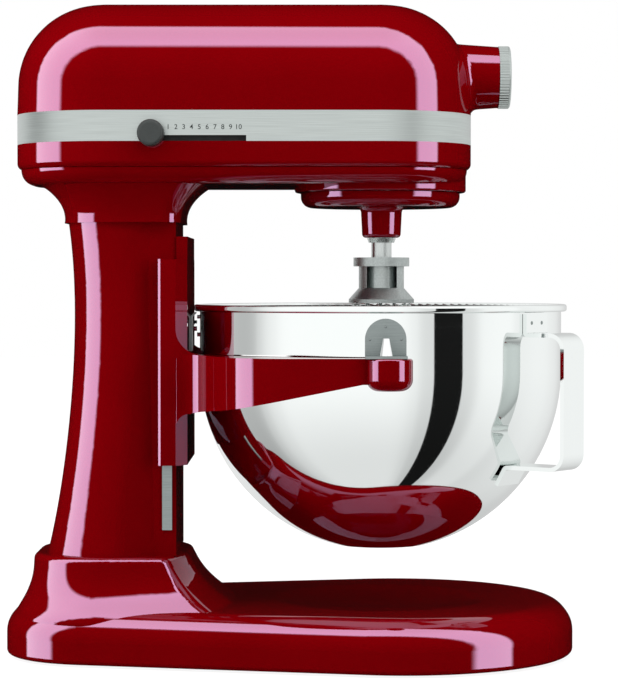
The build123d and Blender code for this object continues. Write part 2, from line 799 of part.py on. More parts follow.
with BuildPart() as vertical_bevel:
    for height, scale in ((bevel_base_z, 1.0), (bevel_top_z, bevel_small)):
        with BuildSketch(Plane.XY.offset(height)):
            with Locations((bowl_axis_x, 0)):
                Polygon(*gear_outline(bevel_module, bevel_teeth, 0, scale), align=None)
    loft(ruled=True)
save(vertical_bevel, "vertical_bevel")

# Horizontal drive: bevel gear, spindle and square socket at the hub's root
socket_side = 12.8
socket_depth = 14.0
spindle_radius = 7.0
drive_base_x = bowl_axis_x + bevel_radius
with BuildPart() as hub_drive:
    with BuildSketch(Plane.YZ.offset(drive_base_x)):
        with Locations((0, hub_axis_z)):
            Circle(spindle_radius)
    extrude(amount=hub_bearing_x - drive_base_x + 2)
    with BuildSketch(Plane.YZ.offset(hub_bearing_x)):
        with Locations((0, hub_axis_z)):
            Circle(hub_drive_radius)
    extrude(amount=hub_inner_x - hub_bearing_x + 4)
    with BuildSketch(Plane.YZ.offset(hub_inner_x + 4)):
        with Locations((0, hub_axis_z)):
            Rectangle(socket_side, socket_side)
    extrude(amount=-socket_depth, mode=Mode.SUBTRACT)
save(hub_drive, "hub_drive")

with BuildPart() as horizontal_bevel:
    for reach, scale in ((bevel_radius, 1.0), (bevel_radius * bevel_small, bevel_small)):
        with BuildSketch(Plane.YZ.offset(bowl_axis_x + reach)):
            with Locations((0, hub_axis_z)):
                Polygon(
                    *gear_outline(bevel_module, bevel_teeth, -90 + 180 / bevel_teeth, scale),
                    align=None,
                )
    loft(ruled=True)
save(horizontal_bevel, "horizontal_bevel")

# Worm wheel, its shaft and the drive pinion that turns the main gear
wheel_face = 7.0
worm_lead = worm_starts * pi * gear_module
wheel_skew = degrees(wheel_face / 2 * worm_lead / (2 * pi * worm_radius) / wheel_pitch_radius)
with BuildPart() as wheel_shaft:
    with BuildSketch(Plane.XY.offset(wheel_floor_z)):
        with Locations((wheel_x, wheel_y)):
            Circle(wheel_shaft_radius)
    extrude(amount=motor_axis_z + wheel_face - wheel_floor_z)
save(wheel_shaft, "wheel_shaft")

with BuildPart() as drive_pinion:
    with BuildSketch(Plane.XY.offset(main_gear_z)):
        with Locations((wheel_x, wheel_y)):
            Polygon(
                *gear_outline(
                    gear_module,
                    drive_pinion_teeth,
                    mesh_angle + 180 + 180 / drive_pinion_teeth,
                ),
                align=None,
            )
            Circle(wheel_shaft_radius, mode=Mode.SUBTRACT)
    extrude(amount=gear_face)
save(drive_pinion, "drive_pinion")

with BuildPart() as worm_wheel:
    for side in (-1, 1):
        with BuildSketch(Plane.XY.offset(motor_axis_z + side * wheel_face / 2)):
            with Locations((wheel_x, wheel_y)):
                Polygon(
                    *gear_outline(gear_module, worm_wheel_teeth, -90 + side * wheel_skew),
                    align=None,
                )
    loft(ruled=True)
    with BuildSketch(Plane.XY.offset(motor_axis_z - wheel_face)):
        with Locations((wheel_x, wheel_y)):
            Circle(wheel_shaft_radius)
    extrude(amount=2 * wheel_face, mode=Mode.SUBTRACT)
save(worm_wheel, "worm_wheel")

# ---------------------------------------------------------------------- motor

worm_length = 26.0
worm_steps = 22
motor_shaft_radius = 5.0
motor_front_x = wheel_x + worm_length / 2 + 2.0
motor_rear_x = head_rear_x + 17.8
stator_rear_x = motor_rear_x + 30.0
stator_length = 60.0
stator_side = 74.0
rotor_radius = 18.0
rotor_gap = 0.8
fan_x = stator_rear_x + stator_length + 20.0
fan_radius = 28.0
fan_blades = 9
bracket_thickness = 6.0
bracket_half_width = 18.0
bracket_spots = [motor_rear_x + 4.0, wheel_x - 27.55]
bearing_radius = 11.0
cradle_half_width = 24.0
stator_mid_x = stator_rear_x + stator_length / 2
brush_width = 7.0
commutator_x = stator_rear_x - 10.0
commutator_radius = 11.0

with BuildPart() as motor_shaft:
    with BuildSketch(Plane.YZ.offset(motor_rear_x)):
        with Locations((0, motor_axis_z)):
            Circle(motor_shaft_radius)
    extrude(amount=motor_front_x - motor_rear_x)
save(motor_shaft, "motor_shaft")

with BuildPart() as rotor:
    with BuildSketch(Plane.YZ.offset(stator_rear_x)):
        with Locations((0, motor_axis_z)):
            Circle(rotor_radius)
            Circle(motor_shaft_radius, mode=Mode.SUBTRACT)
    extrude(amount=stator_length)
    with BuildSketch(Plane.YZ.offset(stator_rear_x)):
        with Locations((0, motor_axis_z)):
            Circle(commutator_radius)
            Circle(motor_shaft_radius, mode=Mode.SUBTRACT)
    extrude(amount=-14)
save(rotor, "rotor")

with BuildPart() as worm:
    for step in range(worm_steps + 1):
        along = wheel_x - worm_length / 2 + step * worm_length / worm_steps
        turn = 360 * (along - wheel_x) / worm_lead
        with BuildSketch(Plane.YZ.offset(along)):
            with Locations((0, motor_axis_z)):
                outline = []
                for start in range(worm_starts):
                    middle = start * 360 / worm_starts + turn + 180 / worm_starts
                    for radius, share in (
                        (worm_radius - 1.15 * gear_module, -0.29),
                        (worm_radius + 0.9 * gear_module, -0.115),
                        (worm_radius + 0.9 * gear_module, 0.115),
                        (worm_radius - 1.15 * gear_module, 0.29),
                        (worm_radius - 1.15 * gear_module, 0.5),
                    ):
                        angle = radians(middle + share * 360 / worm_starts)
                        outline.append((radius * cos(angle), radius * sin(angle)))
                Polygon(*outline, align=None)
    loft(ruled=True)
    with BuildSketch(Plane.YZ.offset(wheel_x - worm_length)):
        with Locations((0, motor_axis_z)):
            Circle(motor_shaft_radius)
    extrude(amount=2 * worm_length, mode=Mode.SUBTRACT)
save(worm, "worm")

with BuildPart() as cooling_fan:
    with BuildSketch(Plane.YZ.offset(fan_x)):
        with Locations((0, motor_axis_z)):
            Circle(motor_shaft_radius + 5.0)
            Circle(motor_shaft_radius, mode=Mode.SUBTRACT)
    extrude(amount=12.0)
    with BuildSketch(Plane.YZ.offset(fan_x)):
        with Locations((0, motor_axis_z)):
            Circle(fan_radius)
            Circle(motor_shaft_radius, mode=Mode.SUBTRACT)
    extrude(amount=1.6)
    with BuildSketch(Plane.YZ.offset(fan_x)):
        with Locations((0, motor_axis_z)):
            with PolarLocations(fan_radius / 2 + 4.0, fan_blades):
                Rectangle(fan_radius - 8.0, 1.8)
    extrude(amount=12.0)
save(cooling_fan, "cooling_fan")

with BuildPart() as stator:
    with BuildSketch(Plane.YZ.offset(stator_rear_x)):
        with Locations((0, motor_axis_z)):
            RectangleRounded(stator_side, stator_side, 18.0)
            Circle(rotor_radius + rotor_gap, mode=Mode.SUBTRACT)
    extrude(amount=stator_length)
    with BuildSketch(Plane.XY.offset(housing_bottom_z)):
        with Locations((stator_mid_x, 0)):
            Rectangle(stator_length - 12, 2 * cradle_half_width)
    extrude(amount=motor_axis_z - stator_side / 2 - housing_bottom_z + 1)
save(stator, "stator")

with BuildPart() as bearing_brackets:
    for spot in bracket_spots:
        with BuildSketch(Plane.YZ.offset(spot)):
            with Locations((0, (housing_bottom_z + motor_axis_z) / 2)):
                Rectangle(2 * bracket_half_width, motor_axis_z - housing_bottom_z)
            with Locations((0, motor_axis_z)):
                Circle(bearing_radius)
                Circle(motor_shaft_radius + running_gap, mode=Mode.SUBTRACT)
        extrude(amount=bracket_thickness)
save(bearing_brackets, "bearing_brackets")

# Carbon brushes standing on the commutator, each in the end of the stator's yoke
with BuildPart() as brushes:
    for side in (1, -1):
        with BuildSketch(Plane.XZ.offset(-side * (commutator_radius + seat_gap))):
            with Locations((commutator_x + 4.0, motor_axis_z)):
                Rectangle(brush_width + 1, brush_width)
        extrude(amount=-side * 20.0)
save(brushes, "brushes")

# ---------------------------------------------------------------- speed control

stem_front_y = -head_width / 2 - 1.5
stem_back_y = -head_width / 2 + 9.0
liner_y = stem_back_y + 1.5
with BuildPart() as speed_stem:
    with BuildSketch(Plane.XZ.offset(-stem_back_y)):
        with Locations((speed_off_x, band_bottom_z + speed_slot_height / 2)):
            Rectangle(speed_stem_width, speed_slot_height - 2 * seat_gap)
    extrude(amount=stem_back_y - stem_front_y)
save(speed_stem, "speed_stem")

with BuildPart() as speed_knob:
    with BuildSketch(Plane.XZ.offset(-stem_front_y)):
        with Locations((speed_off_x, speed_knob_z)):
            Circle(speed_knob_radius)
    extrude(amount=speed_knob_length)
    fillet(speed_knob.edges().group_by(Axis.Y)[0], 2.5)
    chamfer(speed_knob.edges().group_by(Axis.Y)[-1], 0.6)
save(speed_knob, "speed_knob")

with BuildPart() as slot_liner:
    with BuildSketch(Plane.XY.offset(band_bottom_z - 3)):
        with BuildLine():
            Polyline(
                (slot_rear_x - 4, -head_width / 2 + band_thickness + head_wall),
                (slot_rear_x - 4, liner_y + 1.2),
                (slot_front_x + 4, liner_y + 1.2),
                (slot_front_x + 4, -head_width / 2 + band_thickness + head_wall),
                (slot_front_x + 2.8, -head_width / 2 + band_thickness + head_wall),
                (slot_front_x + 2.8, liner_y),
                (slot_rear_x - 2.8, liner_y),
                (slot_rear_x - 2.8, -head_width / 2 + band_thickness + head_wall),
                close=True,
            )
        make_face()
    extrude(amount=speed_slot_height + 6)
save(slot_liner, "slot_liner")

# -------------------------------------------------------------- attachment hub

knurl_count = 60
with BuildPart() as hub_cap:
    with BuildSketch(Plane.YZ.offset(hub_face_x)):
        with Locations((0, hub_axis_z)):
            Circle(hub_cap_radius)
    extrude(amount=hub_cap_thickness)
    fillet(hub_cap.edges().group_by(Axis.X)[-1], 1.5)
    with BuildSketch(Plane.YZ.offset(hub_face_x)):
        with Locations((0, hub_axis_z)):
            with PolarLocations(hub_cap_radius + 0.25, knurl_count):
                Circle(0.7)
    extrude(amount=hub_cap_thickness - 1.5, mode=Mode.SUBTRACT)
    # Spigot that plugs the bore
    with BuildSketch(Plane.YZ.offset(hub_face_x)):
        with Locations((0, hub_axis_z)):
            Circle(hub_bore_radius - seat_gap)
            Circle(hub_bore_radius - 2.5, mode=Mode.SUBTRACT)
    extrude(amount=-6.0)
save(hub_cap, "hub_cap")

knob_head_y = hub_radius + 3.0
with BuildPart() as hub_knob:
    with BuildSketch(Plane.XZ.offset(-hub_bore_radius - 0.5)):
        with Locations((knob_screw_x, hub_axis_z)):
            Circle(knob_screw_radius)
    extrude(amount=-(knob_head_y - hub_bore_radius))
    with BuildSketch(Plane.XZ.offset(-knob_head_y)):
        with Locations((knob_screw_x, hub_axis_z)):
            Circle(knob_radius)
            with PolarLocations(knob_radius + 1.2, 8):
                Circle(2.2, mode=Mode.SUBTRACT)
    extrude(amount=-knob_reach + 8)
save(hub_knob, "hub_knob")

# ------------------------------------------------------------- beater and whisk

shaft_collar_radius = 9.2
shaft_collar_height = 2.8
shaft_collar_taper = 20.0
bayonet_z = whisk_hub_top_z - 11.9
bayonet_radius = 2.2
bayonet_reach = 4.2
whisk_socket_z = whisk_hub_top_z - whisk_socket_depth
with BuildPart() as beater_shaft:
    with BuildSketch(Plane.XY.offset(whisk_socket_z)):
        with Locations((bowl_axis_x, beater_y)):
            Circle(beater_shaft_radius)
    extrude(amount=gear_bottom_z + gear_face - whisk_socket_z)
    with BuildSketch(Plane.XY.offset(boss_bottom_z - seat_gap)):
        with Locations((bowl_axis_x, beater_y)):
            Circle(shaft_collar_radius)
    extrude(amount=-shaft_collar_height, taper=shaft_collar_taper)
    with BuildSketch(Plane.YZ.offset(bowl_axis_x - beater_shaft_radius - bayonet_reach)):
        with Locations((beater_y, bayonet_z)):
            Circle(bayonet_radius)
    extrude(amount=2 * (beater_shaft_radius + bayonet_reach))
save(beater_shaft, "beater_shaft")

with BuildPart() as planet_pinion:
    with BuildSketch(Plane.XY.offset(gear_bottom_z)):
        with Locations((bowl_axis_x, beater_y)):
            Polygon(*gear_outline(gear_module, pinion_teeth, -90), align=None)
            Circle(beater_shaft_radius, mode=Mode.SUBTRACT)
    extrude(amount=gear_face)
save(planet_pinion, "planet_pinion")

flange_height = 5.6
socket_wall = 3.2
skirt_ring_height = 2.4
skirt_height = 9.6
whisk_hub_bottom_z = whisk_hub_top_z - whisk_hub_height
skirt_top_z = whisk_hub_bottom_z + skirt_height
window_width = 19.0
with BuildPart() as whisk_hub:
    with BuildSketch(Plane.XZ.offset(-beater_y)):
        with BuildLine():
            Polyline(
                (bowl_axis_x, whisk_hub_bottom_z),
                (bowl_axis_x + whisk_skirt_radius, whisk_hub_bottom_z),
                (bowl_axis_x + whisk_skirt_radius, whisk_hub_bottom_z + skirt_ring_height),
                (bowl_axis_x + whisk_neck_radius, skirt_top_z),
                (bowl_axis_x + whisk_neck_radius, whisk_hub_top_z - flange_height),
                (bowl_axis_x + whisk_flange_radius, whisk_hub_top_z - flange_height),
                (bowl_axis_x + whisk_flange_radius, whisk_hub_top_z),
                (bowl_axis_x, whisk_hub_top_z),
                close=True,
            )
        make_face()
    revolve(axis=Axis((bowl_axis_x, beater_y, 0), (0, 0, 1)))
    # Open the neck to its inner tube, leaving two side webs
    neck_height = whisk_hub_top_z - flange_height - skirt_top_z
    with BuildSketch(Plane.XY.offset(skirt_top_z)):
        with Locations((bowl_axis_x, beater_y)):
            Rectangle(window_width, 2 * whisk_flange_radius)
            Circle(beater_shaft_radius + socket_wall, mode=Mode.SUBTRACT)
    extrude(amount=neck_height, mode=Mode.SUBTRACT)
    with BuildSketch(Plane.XY.offset(whisk_socket_z)):
        with Locations((bowl_axis_x, beater_y)):
            Circle(beater_shaft_radius + running_gap)
    extrude(amount=whisk_socket_depth, mode=Mode.SUBTRACT)
    # Slot that the bayonet pin drops into
    with BuildSketch(Plane.XY.offset(bayonet_z - bayonet_radius - 0.2)):
        with Locations((bowl_axis_x, beater_y)):
            Rectangle(
                2 * (beater_shaft_radius + bayonet_reach + 0.4), 2 * bayonet_radius + 0.6
            )
    extrude(amount=whisk_hub_top_z - bayonet_z + bayonet_radius + 0.2, mode=Mode.SUBTRACT)
save(whisk_hub, "whisk_hub")

wire_root_radius = whisk_skirt_radius - 3.5
wire_spacing = 2 * wire_radius + 0.2
wire_top_z = whisk_hub_bottom_z - 0.45
whisk_bulb_z = whisk_bottom_z + whisk_bulb_height
with BuildPart() as whisk_wires:
    for loop in range(wire_loops):
        turn = loop * 180 / wire_loops
        low_z = whisk_bottom_z + loop * wire_spacing
        loop_plane = Plane(
            origin=(bowl_axis_x, beater_y, 0),
            x_dir=(cos(radians(turn)), sin(radians(turn)), 0),
            z_dir=(sin(radians(turn)), -cos(radians(turn)), 0),
        )
        with BuildLine(loop_plane) as loop_line:
            FilletPolyline(
                (wire_root_radius, wire_top_z),
                (whisk_bulb_radius, whisk_bulb_z),
                (whisk_base_radius, low_z),
                (-whisk_base_radius, low_z),
                (-whisk_bulb_radius, whisk_bulb_z),
                (-wire_root_radius, wire_top_z),
                radius=[whisk_side_bend, whisk_base_bend, whisk_base_bend, whisk_side_bend],
            )
        with BuildSketch(Plane(loop_line.line @ 0, z_dir=loop_line.line % 0)):
            Circle(wire_radius)
        sweep()
save(whisk_wires, "whisk_wires")

# ------------------------------------------------------------------------ bowl

inner_radius = bowl_radius - bowl_wall
inner_floor_radius = sqrt(
    inner_radius**2 - (bowl_centre_z - bowl_floor_z - bowl_wall) ** 2
)
side_angle = 0.5
bowl_mid = (bowl_radius * cos(side_angle), bowl_centre_z - bowl_radius * sin(side_angle))
inner_mid = (inner_radius * cos(side_angle), bowl_centre_z - inner_radius * sin(side_angle))
bowl_spin = Axis((bowl_axis_x, 0, 0), (0, 0, 1))

with BuildPart() as bowl_body:
    with BuildSketch(Plane.XZ):
        with BuildLine():
            Line((bowl_axis_x, bowl_rim_z), (bowl_axis_x, bowl_floor_z))
            Line((bowl_axis_x, bowl_floor_z), (bowl_axis_x + bowl_foot_radius, bowl_floor_z))
            ThreePointArc(
                (bowl_axis_x + bowl_foot_radius, bowl_floor_z),
                (bowl_axis_x + bowl_mid[0], bowl_mid[1]),
                (bowl_axis_x + bowl_radius, bowl_centre_z),
            )
            Line((bowl_axis_x + bowl_radius, bowl_centre_z), (bowl_axis_x + bowl_radius, bowl_rim_z))
            Line((bowl_axis_x + bowl_radius, bowl_rim_z), (bowl_axis_x, bowl_rim_z))
        make_face()
    revolve(axis=bowl_spin)

with BuildPart() as bowl:
    with BuildSketch(Plane.XZ):
        with BuildLine():
            Line((bowl_axis_x, bowl_floor_z), (bowl_axis_x + bowl_foot_radius, bowl_floor_z))
            ThreePointArc(
                (bowl_axis_x + bowl_foot_radius, bowl_floor_z),
                (bowl_axis_x + bowl_mid[0], bowl_mid[1]),
                (bowl_axis_x + bowl_radius, bowl_centre_z),
            )
            Line(
                (bowl_axis_x + bowl_radius, bowl_centre_z),
                (bowl_axis_x + bowl_radius, bowl_rim_z - rim_bead_height / 2),
            )
            Line(
                (bowl_axis_x + bowl_radius, bowl_rim_z - rim_bead_height / 2),
                (bowl_axis_x + inner_radius, bowl_rim_z - rim_bead_height / 2),
            )
            Line(
                (bowl_axis_x + inner_radius, bowl_rim_z - rim_bead_height / 2),
                (bowl_axis_x + inner_radius, bowl_centre_z),
            )
            ThreePointArc(
                (bowl_axis_x + inner_radius, bowl_centre_z),
                (bowl_axis_x + inner_mid[0], inner_mid[1]),
                (bowl_axis_x + inner_floor_radius, bowl_floor_z + bowl_wall),
            )
            Line(
                (bowl_axis_x + inner_floor_radius, bowl_floor_z + bowl_wall),
                (bowl_axis_x, bowl_floor_z + bowl_wall),
            )
            Line((bowl_axis_x, bowl_floor_z + bowl_wall), (bowl_axis_x, bowl_floor_z))
        make_face()
        # Rolled bead round the rim
        with Locations(
            (
                bowl_axis_x + inner_radius + (rim_bead_width + bowl_wall) / 2,
                bowl_rim_z - rim_bead_height / 2,
            )
        ):
            RectangleRounded(rim_bead_width + bowl_wall, rim_bead_height, 1.6)
    revolve(axis=bowl_spin)
save(bowl, "bowl")

handle_plane = Plane(
    origin=(bowl_axis_x, 0, 0),
    x_dir=(cos(radians(handle_turn)), sin(radians(handle_turn)), 0),
    z_dir=(sin(radians(handle_turn)), -cos(radians(handle_turn)), 0),
)
flange_length = 13.0
low_wall_radius = bowl_outline_radius(handle_bottom_z)
low_slope = acos((bowl_centre_z - handle_bottom_z) / bowl_radius)
half_strap = handle_thickness / 2
with BuildPart() as bowl_handle:
    with BuildSketch(handle_plane):
        with BuildLine():
            FilletPolyline(
                (bowl_radius + half_strap - 0.4, handle_top_z + flange_length),
                (bowl_radius + half_strap - 0.4, handle_top_z),
                (handle_reach - half_strap, handle_top_z),
                (handle_reach - half_strap, handle_bottom_z),
                (low_wall_radius + half_strap + 1.0, handle_bottom_z),
                (
                    low_wall_radius + half_strap + 1.0 - flange_length * cos(low_slope),
                    handle_bottom_z - flange_length * sin(low_slope),
                ),
                radius=[2.0, handle_corner, handle_corner, 3.0],
            )
        trace(line_width=handle_thickness)
    extrude(amount=handle_width / 2, both=True)
    add(bowl_body.part, mode=Mode.SUBTRACT)
save(bowl_handle, "bowl_handle")

bracket_width = 25.0
bracket_top_z = bowl_rim_z - 7.7
bracket_plate = 1.6
shelf_z = arm_top_z
pin_y = bowl_radius + pin_reach
with BuildPart() as bowl_brackets:
    for side in (1, -1):
        with BuildSketch(Plane.XZ.offset(-side * (bowl_radius - 3))):
            with Locations((bowl_axis_x, (bracket_top_z - bracket_width / 2 + shelf_z) / 2)):
                Rectangle(bracket_width, bracket_top_z - bracket_width / 2 - shelf_z)
            with Locations((bowl_axis_x, bracket_top_z - bracket_width / 2)):
                Circle(bracket_width / 2)
        extrude(amount=-side * (3 + bracket_plate))
        with BuildSketch(Plane.XY.offset(shelf_z)):
            with Locations((bowl_axis_x, side * (bowl_radius + pin_reach))):
                Rectangle(bracket_width, 2 * pin_reach)
                Circle(pin_radius + seat_gap, mode=Mode.SUBTRACT)
        extrude(amount=bracket_plate)
    add(bowl_body.part, mode=Mode.SUBTRACT)
save(bowl_brackets, "bowl_brackets")

# ------------------------------------------------------------- bowl carriage

gusset_radius = 16.5
gusset_root = 2.0
arm_underside_fillet = 9.0
arm_boss_top_round = 1.5
slot_near = crank_radius * cos(radians(crank_turn / 2)) - crank_pin_radius - part_gap
slot_far = crank_radius + crank_pin_radius + part_gap
lug_end_wall = 3.0
arm_root_z = arm_root_bottom_z - arm_underside_fillet
with BuildPart() as carriage:
    with BuildSketch(Plane.XY.offset(arm_root_z)):
        for side in (1, -1):
            with BuildLine():
                FilletPolyline(
                    (carriage_back_x, 0),
                    (carriage_back_x, side * carriage_half_width),
                    (arm_sweep_x - 28, side * carriage_half_width),
                    (arm_sweep_x, side * arm_outer_y),
                    (bowl_axis_x + 6, side * arm_outer_y),
                    (bowl_axis_x + 6, side * (bowl_radius - 6)),
                    radius=[1.0, 13.0, 40.0, 3.0],
                )
                Line((bowl_axis_x + 6, side * (bowl_radius - 6)), (bowl_axis_x, 0))
                Line((bowl_axis_x, 0), (carriage_back_x, 0))
            make_face()
    extrude(amount=arm_top_z - arm_root_z)
    # Taper the arms from below
    with BuildSketch(Plane.XZ.offset(-arm_outer_y - 10)):
        with BuildLine():
            FilletPolyline(
                (carriage_front_x - cheek_round, arm_root_z - 5),
                (carriage_front_x - cheek_round, arm_root_bottom_z),
                (bowl_axis_x - arm_tip_radius, arm_tip_bottom_z),
                (bowl_axis_x + 30, arm_tip_bottom_z),
                (bowl_axis_x + 30, arm_root_z - 5),
                radius=[arm_underside_fillet, 5.0, 5.0],
            )
            Line(
                (bowl_axis_x + 30, arm_root_z - 5),
                (carriage_front_x - cheek_round, arm_root_z - 5),
            )
        make_face()
    extrude(amount=2 * arm_outer_y + 20, mode=Mode.SUBTRACT)
    for side in (1, -1):
        with BuildSketch(Plane.XZ.offset(-side * pin_y)):
            with BuildLine():
                FilletPolyline(
                    (bowl_axis_x + 2, arm_top_z - arm_boss_depth),
                    (bowl_axis_x + 2 + arm_tip_radius, arm_top_z - arm_boss_depth),
                    (bowl_axis_x + 2 + arm_tip_radius, arm_top_z),
                    (bowl_axis_x + 2, arm_top_z),
                    radius=[arm_boss_round, arm_boss_top_round],
                )
                Line(
                    (bowl_axis_x + 2, arm_top_z),
                    (bowl_axis_x + 2, arm_top_z - arm_boss_depth),
                )
            make_face()
        revolve(axis=Axis((bowl_axis_x + 2, side * pin_y, 0), (0, 0, 1)))
    # Slide plate and its two cheeks round the column's rails
    with BuildSketch(Plane.XY.offset(carriage_bottom_z)):
        with Locations(((carriage_back_x + carriage_front_x) / 2, 0)):
            Rectangle(carriage_thickness, 2 * cheek_inner_y)
    extrude(amount=carriage_top_z - carriage_bottom_z)
    cheek_back_x = carriage_front_x - cheek_depth
    for side in (1, -1):
        with BuildSketch(Plane.XY.offset(carriage_bottom_z)):
            with BuildLine():
                Polyline(
                    (cheek_back_x, side * cheek_inner_y),
                    (cheek_back_x, side * (carriage_half_width - cheek_edge)),
                    (cheek_back_x + cheek_edge, side * carriage_half_width),
                    (carriage_front_x - cheek_round, side * carriage_half_width),
                    (carriage_front_x, side * (carriage_half_width - cheek_round)),
                    (carriage_front_x, side * cheek_inner_y),
                    close=True,
                )
            make_face()
        extrude(amount=cheek_top_z - carriage_bottom_z)
    # Gussets where the arms spring from the cheeks
    gusset_mid = gusset_radius * (1 - cos(pi / 4))
    gusset_x = carriage_front_x - cheek_round
    for side in (1, -1):
        with BuildSketch(Plane.XZ.offset(-side * cheek_inner_y)):
            with BuildLine():
                ThreePointArc(
                    (gusset_x, arm_top_z + gusset_radius),
                    (gusset_x + gusset_mid, arm_top_z + gusset_mid),
                    (gusset_x + gusset_radius, arm_top_z),
                )
                Polyline(
                    (gusset_x + gusset_radius, arm_top_z),
                    (gusset_x + gusset_radius, arm_top_z - gusset_root),
                    (gusset_x - gusset_root, arm_top_z - gusset_root),
                    (gusset_x - gusset_root, arm_top_z + gusset_radius),
                    (gusset_x, arm_top_z + gusset_radius),
                )
            make_face()
        extrude(amount=-side * (carriage_half_width - cheek_inner_y))
    # Room for the bowl
    with BuildSketch(Plane.XY.offset(carriage_bottom_z - 1)):
        with Locations((bowl_axis_x, 0)):
            Circle(bowl_radius + arm_bowl_gap)
    extrude(amount=carriage_top_z - carriage_bottom_z + 2, mode=Mode.SUBTRACT)
    # Lug through the column's window, with the crank's slot
    lug_rear_x = lift_shaft_x - slot_far - lug_end_wall
    with BuildSketch(Plane.XZ.offset(-lug_half_thickness)):
        with Locations(((lug_rear_x + carriage_back_x) / 2, lug_mid_z)):
            Rectangle(carriage_back_x - lug_rear_x, 2 * lug_half_height)
        with Locations((lift_shaft_x - (slot_near + slot_far) / 2, lug_mid_z)):
            Rectangle(
                slot_far - slot_near,
                2 * (crank_pin_radius + lug_slot_play),
                mode=Mode.SUBTRACT,
            )
    extrude(amount=2 * lug_half_thickness)
save(carriage, "carriage")

with BuildPart() as bowl_pins:
    for side in (1, -1):
        with BuildSketch(Plane.XY.offset(arm_top_z)):
            with Locations((bowl_axis_x, side * pin_y)):
                Circle(pin_radius)
        with BuildSketch(Plane.XY.offset(arm_top_z + pin_height)):
            with Locations((bowl_axis_x, side * pin_y)):
                Circle(pin_tip_radius)
        loft()
save(bowl_pins, "bowl_pins")

# Rear catch: a stud on the bowl and a leaf spring on the carriage
stud_z = bowl_rim_z - 14.0
stud_radius = 3.5
catch_half_width = 8.0
leaf_thickness = 0.9
with BuildPart() as bowl_stud:
    with BuildSketch(Plane.YZ.offset(bowl_axis_x - bowl_radius + 3)):
        with Locations((0, stud_z)):
            RectangleRounded(2 * catch_half_width, 14.0, 3.0)
    extrude(amount=-3 - bracket_plate)
    with BuildSketch(Plane.YZ.offset(bowl_axis_x - bowl_radius)):
        with Locations((0, stud_z)):
            Circle(stud_radius)
    extrude(amount=carriage_front_x + leaf_thickness + 1.0 - bowl_axis_x + bowl_radius)
    add(bowl_body.part, mode=Mode.SUBTRACT)
save(bowl_stud, "bowl_stud")

with BuildPart() as latch_spring:
    with BuildSketch(Plane.XZ.offset(-catch_half_width)):
        with BuildLine():
            FilletPolyline(
                (carriage_front_x + leaf_thickness / 2, arm_top_z + 1.0),
                (carriage_front_x + leaf_thickness / 2, stud_z + stud_radius + 2.5),
                (carriage_front_x + 3.2, stud_z + stud_radius + 5.0),
                radius=1.5,
            )
        trace(line_width=leaf_thickness)
    extrude(amount=2 * catch_half_width)
save(latch_spring, "latch_spring")

# ------------------------------------------------------------- bowl-lift lever

lever_y = column_sections[2][2] + 6.0
lever_thickness = 8.0
lever_root_radius = 11.0
lever_tip_radius = 7.0
grip_length = 26.0
crank_pin_x = lift_shaft_x - crank_radius * cos(radians(crank_turn / 2))
with BuildPart() as lift_shaft:
    with BuildSketch(Plane.XZ.offset(-crank_web_y)):
        with Locations((lift_shaft_x, lift_shaft_z)):
            Circle(lift_shaft_radius)
    extrude(amount=crank_web_y - lever_y)
save(lift_shaft, "lift_shaft")

with BuildPart() as lift_crank:
    with BuildSketch(Plane.XZ.offset(-crank_web_y)):
        with Locations((lift_shaft_x, lift_shaft_z)):
            Circle(lift_shaft_radius + 4.0)
        with Locations((crank_pin_x, lug_mid_z)):
            Circle(crank_pin_radius + 2.5)
        make_hull()
        with Locations((lift_shaft_x, lift_shaft_z)):
            Circle(lift_shaft_radius, mode=Mode.SUBTRACT)
    extrude(amount=-crank_web)
    with BuildSketch(Plane.XZ.offset(-crank_web_y)):
        with Locations((crank_pin_x, lug_mid_z)):
            Circle(crank_pin_radius)
    extrude(amount=2 * crank_web_y)
save(lift_crank, "lift_crank")

with BuildPart() as lift_lever:
    with BuildSketch(Plane.XZ.offset(-lever_y)):
        with Locations((lift_shaft_x, lift_shaft_z)):
            Circle(lever_root_radius)
        with Locations((lift_shaft_x, lift_shaft_z + lever_length)):
            Circle(lever_tip_radius)
        make_hull()
    extrude(amount=-lever_thickness)
    fillet(lift_lever.edges().group_by(Axis.Y)[-1], 2.5)
save(lift_lever, "lift_lever")

with BuildPart() as lever_grip:
    with BuildSketch(Plane.XZ.offset(-lever_y - lever_thickness)):
        with Locations((lift_shaft_x, lift_shaft_z + lever_length)):
            Circle(lever_tip_radius - 0.5)
    extrude(amount=-grip_length, taper=-4)
    fillet(lever_grip.edges().group_by(Axis.Y)[-1], 4.0)
save(lever_grip, "lever_grip")
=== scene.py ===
"""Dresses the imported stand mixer: finishes, speed scale, spot welds and a plain studio.

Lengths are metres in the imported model's frame: +X runs from the column to the attachment hub,
+Z is up, and the camera looks along +Y. Named angles are degrees.
"""

import json
import math

import bmesh
import bpy
from mathutils import Matrix, Vector
from mathutils.bvhtree import BVHTree


